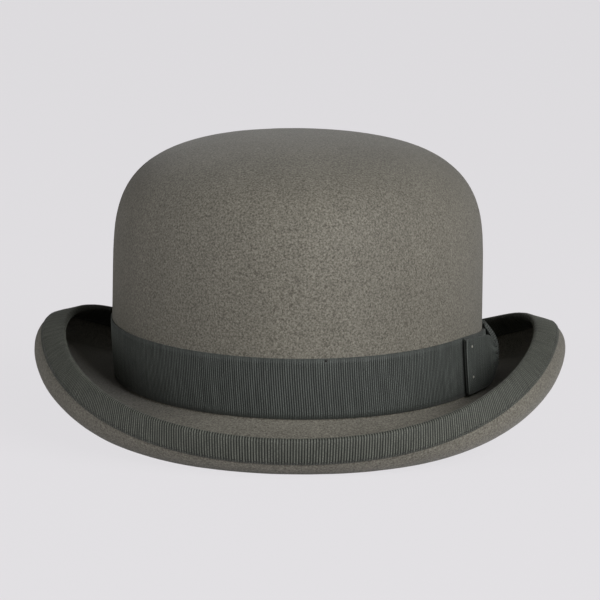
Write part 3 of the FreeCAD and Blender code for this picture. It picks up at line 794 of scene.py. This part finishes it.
def tack_set(name, spots, radius):
    """Small knots of thread at (angle, out, height) spots."""
    parts = []
    for angle, out, height in spots:
        middle = wall(angle, out, height)
        facing = wall(angle, out + MM, height) - middle
        parts.append(bead(middle, radius, 0.6, facing / np.linalg.norm(facing)))
    return joined(name, parts)


def band_tacks():
    """Dark tacks at the band's upper edge."""
    spots = [(angle, BAND_FACE + LAYER_GAP, float(band_top(angle)) - 0.8 * MM)
             for angle in (11.0, 194.0, -90.0)]
    return tack_set("band_tacks_thread", spots, 0.62 * MM)


def bow_tacks():
    """Light tacks at both ends of the bow."""
    spots = []
    out = BAND_FACE + BAND + LAYER_GAP + 1.95 * MM
    for angle in (BOW_FRONT + 2.7, BOW_BACK - 2.7):
        for height in (bow_foot(angle) + 7.2 * MM, bow_top(angle) - 3.6 * MM):
            spots.append((angle, out, float(height)))
    return tack_set("bow_tacks_thread", spots, 0.6 * MM)


# --- Inside -----------------------------------------------------------------------------------------

LEATHER, LEATHER_WIDTH = 0.9 * MM, 57.0 * MM
# Place of the leather's outer face at its foot and its top, out from the felt's outer face.
LEATHER_FOOT, LEATHER_TOP = -FELT - 2.3 * MM, -FELT - 1.4 * MM
# The lining tip's size against the crown's oval, the lining's thickness in the frame and its cloth's own.
TIP_RATIO = 0.78
SATIN = 0.35 * MM
SATIN_CLOTH = 0.25 * MM


def leather_wall(angle, share, extra):
    """Points on the sweatband a share of the way up, extra into the head opening from its outer face."""
    foot = SWEATBAND_FOOT + break_level(angle)
    top = SWEATBAND_FOOT + LEATHER_WIDTH
    out = LEATHER_FOOT + (LEATHER_TOP - LEATHER_FOOT) * share - extra
    return wall(angle, out, foot + (top - foot) * share)


def sweatband():
    """Leather band with rounded edges and a pressed line near its top."""
    angles = np.linspace(0, 360, 720, endpoint=False)
    middle = LEATHER / 2
    line_depth, line_share, line_width = 0.12 * MM, 0.955, 0.008
    rows = []
    for share in np.linspace(0.0, 1.0, 40):
        groove = line_depth * math.exp(-((share - line_share) / line_width) ** 2)
        rows.append(leather_wall(angles, share, LEATHER - groove))
    rows.append(leather_wall(angles, 1.0 + middle / LEATHER_WIDTH, middle))
    rows += [leather_wall(angles, share, 0.0) for share in np.linspace(1.0, 0.0, 14)]
    rows.append(leather_wall(angles, -middle / LEATHER_WIDTH, middle))
    return closed_form("sweatband_leather", np.stack(rows))


def sweatband_stitches():
    """Stitches through the leather's foot."""
    pitch, length, radius = 3.0 * MM, 2.1 * MM, 0.2 * MM
    share = 4.1 * MM / LEATHER_WIDTH

    def line(angle, extra=LEATHER):
        return leather_wall(angle, share, extra)

    middles, total = even_angles(line, pitch)
    reach = length / total * 180
    starts = [line(middle - reach) for middle in middles]
    ends = [line(middle + reach) for middle in middles]
    ups = [line(middle, 2 * LEATHER) - line(middle) for middle in middles]
    ups = [up / np.linalg.norm(up) for up in ups]
    return thread_rows("sweatband_stitches_thread", starts, ends, ups, radius)


def seam_tape():
    """Cotton tape over the leather's joint at the back."""
    reach = math.degrees(6 * MM / HALF_WIDTH)
    angles = np.linspace(180 - reach, 180 + reach, 24)
    shares = np.linspace(0.12, 0.975, 40)
    centre = np.stack([leather_wall(angles, share, LEATHER + 0.3 * MM) for share in shares])
    return ribbon("sweatband_seam_tape_cotton", centre, False, 0.4 * MM)


def inner_bow():
    """Small satin bow at the back of the sweatband: two loops and a knot."""
    low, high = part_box("sweatband_bow")
    middle = (low + high) / 2
    width, height = (high.x - low.x) / 2, (high.z - low.z) / 2
    across = np.linspace(-1, 1, 5)[:, None]

    def band(name, x, y, z):
        centre = np.stack(np.broadcast_arrays(middle.x + x, middle.y + y, middle.z + z), -1)
        return ribbon(name, centre, True, 0.3 * MM)

    turn = np.linspace(0, 2 * math.pi, 72, endpoint=False)
    swing = 1 - np.cos(turn)
    rise = height * 0.62 * np.sin(turn) * (0.35 + 0.65 * swing / 2)
    piece = band("sweatband_bow_ribbon", -width * 0.5 * swing, across * 0.55 * MM, rise)
    merge(piece, band("loop", width * 0.5 * swing, across * 0.55 * MM, rise))
    turn = np.linspace(0, 2 * math.pi, 24, endpoint=False)
    merge(piece, band("knot", across * 1.2 * MM, 0.62 * MM * np.cos(turn), 2.0 * MM * np.sin(turn)))
    return piece


def tip_share():
    """Share up the dome where the lining's side meets its tip."""
    return math.acos(TIP_RATIO ** (DOME_WIDTH_POWER / 2)) / (math.pi / 2)


def lining_side():
    """Satin wall, gathered towards the tip in fine pleats that wander a little."""
    pleats, samples = 84, 8
    angles = np.linspace(0, 360, pleats * samples, endpoint=False)
    depth = FELT + 0.25 * MM
    foot, heart = 14.0 * MM, np.array([0, 0, 60 * MM])
    rows = [wall(angles, -depth, height) for height in np.linspace(foot, WALL_HEIGHT, 8)]
    rows += [dome(angles, share, depth) for share in np.linspace(0, tip_share(), 30)[1:]]
    middle = np.stack(rows)
    normal = normals_of(middle, True)
    up = np.linspace(0, 1, len(rows))[:, None]
    turn = np.radians(angles)
    wander = 0.6 * np.sin(turn * 5 + 1.0) + 0.4 * np.sin(turn * 13)
    phase = turn * pleats + wander * (0.4 + up)
    pleat = 0.45 * MM * up ** 1.3 * (0.5 + 0.5 * np.cos(phase))
    inward = np.sign((normal * (heart - middle)).sum(2))
    middle += normal * (inward * (pleat + SATIN / 2))[..., None]
    return ribbon("lining_side_satin", middle, True, SATIN_CLOTH)


def oval_sheet(name, node, thickness):
    """Oval sheet that fills a CAD node's outline, closed over the small hole that its rings leave."""
    low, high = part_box(node)
    middle, half = (low + high) / 2, (high - low) / 2
    columns = 180
    turn = np.linspace(0, 2 * math.pi, columns, endpoint=False)
    ratios = np.linspace(1, 0.02, 36)[:, None]
    centre = np.stack([
        middle.x + half.x * ratios * np.sin(turn),
        middle.y - half.y * ratios * np.cos(turn),
        np.full((len(ratios), columns), middle.z),
    ], -1)
    piece = ribbon(name, centre, True, thickness)
    build = bmesh.new()
    build.from_mesh(piece.data)
    build.verts.ensure_lookup_table()
    upper = range((len(ratios) - 1) * columns, len(ratios) * columns)
    lower = range(len(ratios) * columns, (len(ratios) + 1) * columns)
    around_hole = range(upper.start, lower.stop)
    hole_wall = [face for face in build.faces if all(vert.index in around_hole for vert in face.verts)]
    bmesh.ops.delete(build, geom=hole_wall, context="FACES_ONLY")
    build.faces.new([build.verts[i] for i in upper])
    build.faces.new([build.verts[i] for i in reversed(lower)])
    bmesh.ops.recalc_face_normals(build, faces=build.faces)
    build.to_mesh(piece.data)
    build.free()
    return piece


def reed_and_tape():
    """The reed and its tape, behind the leather's foot."""
    angles = np.linspace(0, 360, 360, endpoint=False)
    radius = 0.8 * MM
    foot, top = SWEATBAND_FOOT + BEND_RADIUS, SWEATBAND_FOOT + 11.0 * MM
    out, height = -FELT - 0.1 * MM - 0.4 * MM - radius, foot + radius
    rows = []
    for tilt in np.linspace(0, 2 * math.pi, 12, endpoint=False):
        level = height + radius * math.sin(tilt) + break_level(angles)
        rows.append(wall(angles, out + radius * math.cos(tilt), level))
    reed = closed_form("sweatband_reed_plastic", np.stack(rows))
    centre = np.stack([wall(angles, -FELT - 0.25 * MM, foot + (top - foot) * share + break_level(angles))
                       for share in np.linspace(0, 1, 8)])
    return reed, ribbon("reed_tape_cotton", centre, True, 0.36 * MM)


def size_ticket():
    """Blank card ticket with clipped corners, tucked behind the leather."""
    low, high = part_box("size_ticket")
    middle, clip_start = 204.0, 0.94
    reach = math.degrees(8 * MM / HALF_LENGTH)
    angles = np.linspace(middle - reach, middle + reach, 24)
    bottom, top = low.z - LIFT, high.z - LIFT
    rows = []
    for share in np.linspace(0, 1, 30):
        out = -FELT - 0.5 * MM - 0.7 * MM * share - 0.1 * MM
        clip = max(share - clip_start, 0) / (1 - clip_start)
        row = middle + (angles - middle) * (1 - 0.12 * clip ** 2)
        rows.append(wall(row, out, bottom + (top - bottom) * share))
    return ribbon("size_ticket_card", np.stack(rows), False, 0.2 * MM)


# --- Build ------------------------------------------------------------------------------------------

def build_outside(thread):
    """Felt and its trims."""
    # The last two numbers of each ribbon finish are painted shade between its ribs and painted light on their
    # tops, as factors on its colour.
    band_cloth = ribbon_finish("band_ribbon", (0.044, 0.050, 0.046), (0.100, 0.109, 0.100), 0.06, 1.6)
    binding_cloth = ribbon_finish("binding_ribbon", (0.056, 0.060, 0.050), (0.146, 0.152, 0.130), 0.04, 1.5)
    dark = thread_finish("dark_thread", (0.012, 0.012, 0.011), (0.035, 0.035, 0.032))
    place_piece(felt_body(), felt_finish(), "felt_body")
    binding = place_piece(brim_binding(), binding_cloth, "brim_binding")
    place_piece(binding_stitches(), dark, "binding_stitches")
    band = place_piece(hat_band(), band_cloth, "hat_band")
    underlay = place_piece(bow_underlay(), band_cloth, "bow_underlay")
    front = bow_loop("bow_front_loop_ribbon", BOW_FRONT)
    place_piece(front, band_cloth, "bow_front_loop")
    rear = bow_loop("bow_rear_loop_ribbon", BOW_BACK)
    place_piece(rear, band_cloth, "bow_rear_loop")
    keeper = place_piece(bow_keeper(), band_cloth, "bow_keeper")
    place_piece(band_tacks(), dark, "band_tacks")
    place_piece(bow_tacks(), thread, "bow_tacks")


def build_inside(thread):
    """Sweatband and lining."""
    cotton = tape_finish()
    satin = satin_finish("satin", (0.20, 0.178, 0.14), (0.36, 0.33, 0.27))
    dark_satin = satin_finish("bow_ribbon", (0.03, 0.028, 0.025), (0.075, 0.07, 0.062))
    place_piece(sweatband(), leather_finish(), "sweatband")
    place_piece(sweatband_stitches(), thread, "sweatband_stitches")
    seam = place_piece(seam_tape(), cotton, "sweatband_seam_tape")
    place_piece(inner_bow(), dark_satin, "sweatband_bow")
    side = place_piece(lining_side(), satin, "lining_side")
    tip = oval_sheet("lining_tip_satin", "lining_tip", SATIN_CLOTH)
    place_piece(tip, satin, "lining_tip")
    shield = oval_sheet("tip_shield_film", "tip_shield", 0.2 * MM)
    place_piece(shield, film_finish(), "tip_shield")
    reed, tape = reed_and_tape()
    place_piece(reed, reed_finish(), "sweatband_reed")
    place_piece(tape, cotton, "reed_tape")
    place_piece(size_ticket(), paper_finish(), "size_ticket")


# --- Stage, light and camera ------------------------------------------------------------------------

BACKGROUND = (0.745, 0.731, 0.753)


def backdrop():
    """Pale floor that reads as one even tone to the camera and still takes a soft shadow."""
    # Seen by the camera, this share of the floor is plain light, at a strength that matches its lit part.
    plain_share, plain_strength = 0.9, 1.066
    bpy.ops.mesh.primitive_plane_add(size=30)
    floor = bpy.context.object
    floor.name = "floor"
    material = bpy.data.materials.new("floor")
    material.use_nodes = True
    nodes, links = material.node_tree.nodes, material.node_tree.links
    nodes.clear()
    output = nodes.new("ShaderNodeOutputMaterial")
    diffuse = nodes.new("ShaderNodeBsdfDiffuse")
    diffuse.inputs["Color"].default_value = (*BACKGROUND, 1)
    plain = nodes.new("ShaderNodeEmission")
    plain.inputs["Color"].default_value = (*BACKGROUND, 1)
    plain.inputs["Strength"].default_value = plain_strength
    seen = nodes.new("ShaderNodeMixShader")
    seen.inputs["Fac"].default_value = plain_share
    links.new(diffuse.outputs[0], seen.inputs[1])
    links.new(plain.outputs[0], seen.inputs[2])
    paths = nodes.new("ShaderNodeLightPath")
    final = nodes.new("ShaderNodeMixShader")
    links.new(paths.outputs["Is Camera Ray"], final.inputs["Fac"])
    links.new(diffuse.outputs[0], final.inputs[1])
    links.new(seen.outputs[0], final.inputs[2])
    links.new(final.outputs[0], output.inputs["Surface"])
    floor.data.materials.append(material)


def world_light(strength):
    """Even light from all round, with the backdrop's own colour where the camera looks past the floor."""
    world = bpy.data.worlds.new("studio")
    bpy.context.scene.world = world
    world.use_nodes = True
    nodes, links = world.node_tree.nodes, world.node_tree.links
    fill = nodes["Background"]
    fill.inputs["Color"].default_value = (1, 0.99, 0.97, 1)
    fill.inputs["Strength"].default_value = strength
    plain = nodes.new("ShaderNodeBackground")
    plain.inputs["Color"].default_value = (*BACKGROUND, 1)
    paths = nodes.new("ShaderNodeLightPath")
    mix = nodes.new("ShaderNodeMixShader")
    links.new(paths.outputs["Is Camera Ray"], mix.inputs["Fac"])
    links.new(fill.outputs[0], mix.inputs[1])
    links.new(plain.outputs[0], mix.inputs[2])
    links.new(mix.outputs[0], nodes["World Output"].inputs["Surface"])


def direction(azimuth, elevation):
    """Direction at an azimuth from the hat's front, 90 on its left, and an elevation, in degrees."""
    turn, rise = math.radians(azimuth), math.radians(elevation)
    return Vector((math.sin(turn) * math.cos(rise), -math.cos(turn) * math.cos(rise), math.sin(rise)))


def softbox(name, azimuth, elevation, size, power):
    """Square area lamp turned to the middle of the hat."""
    aim, distance = Vector((0, 0, LIFT + 50 * MM)), 1.9
    lamp = bpy.data.lights.new(name, "AREA")
    lamp.shape = "SQUARE"
    lamp.size = size
    lamp.energy = power
    spot = bpy.data.objects.new(name, lamp)
    spot.location = aim + distance * direction(azimuth, elevation)
    spot.rotation_euler = (aim - spot.location).to_track_quat("-Z", "Y").to_euler()
    bpy.context.scene.collection.objects.link(spot)


def camera():
    """Long lens a little above the brim, almost square to the front, tilted by under a degree."""
    distance, azimuth, elevation, roll = 1.4, 2.14, 8.0, 0.78
    aim, away = Vector((-0.76 * MM, 0, LIFT + 36.9 * MM)), direction(azimuth, elevation)
    view = bpy.data.cameras.new("camera")
    view.sensor_width, view.lens = 36.0, 184.8
    eye = bpy.data.objects.new("camera", view)
    eye.location = aim + away * distance
    eye.rotation_mode = "QUATERNION"
    eye.rotation_quaternion = (-away).to_track_quat("-Z", "Y") @ Quaternion((0, 0, 1), math.radians(roll))
    bpy.context.scene.collection.objects.link(eye)
    bpy.context.scene.camera = eye


def lights():
    """Broad soft key low on the right, a second lamp higher on that side and a weak fill from the left."""
    softbox("key", azimuth=34, elevation=17, size=1.0, power=21.0)
    softbox("side", azimuth=68, elevation=36, size=0.8, power=10.0)
    softbox("fill", azimuth=-55, elevation=16, size=1.0, power=9.7)
    world_light(0.1)


light_thread = thread_finish("light_thread", (0.22, 0.21, 0.18), (0.42, 0.41, 0.36))
build_outside(light_thread)
build_inside(light_thread)
backdrop()
lights()
camera()
bpy.context.scene.view_settings.view_transform = "Standard"
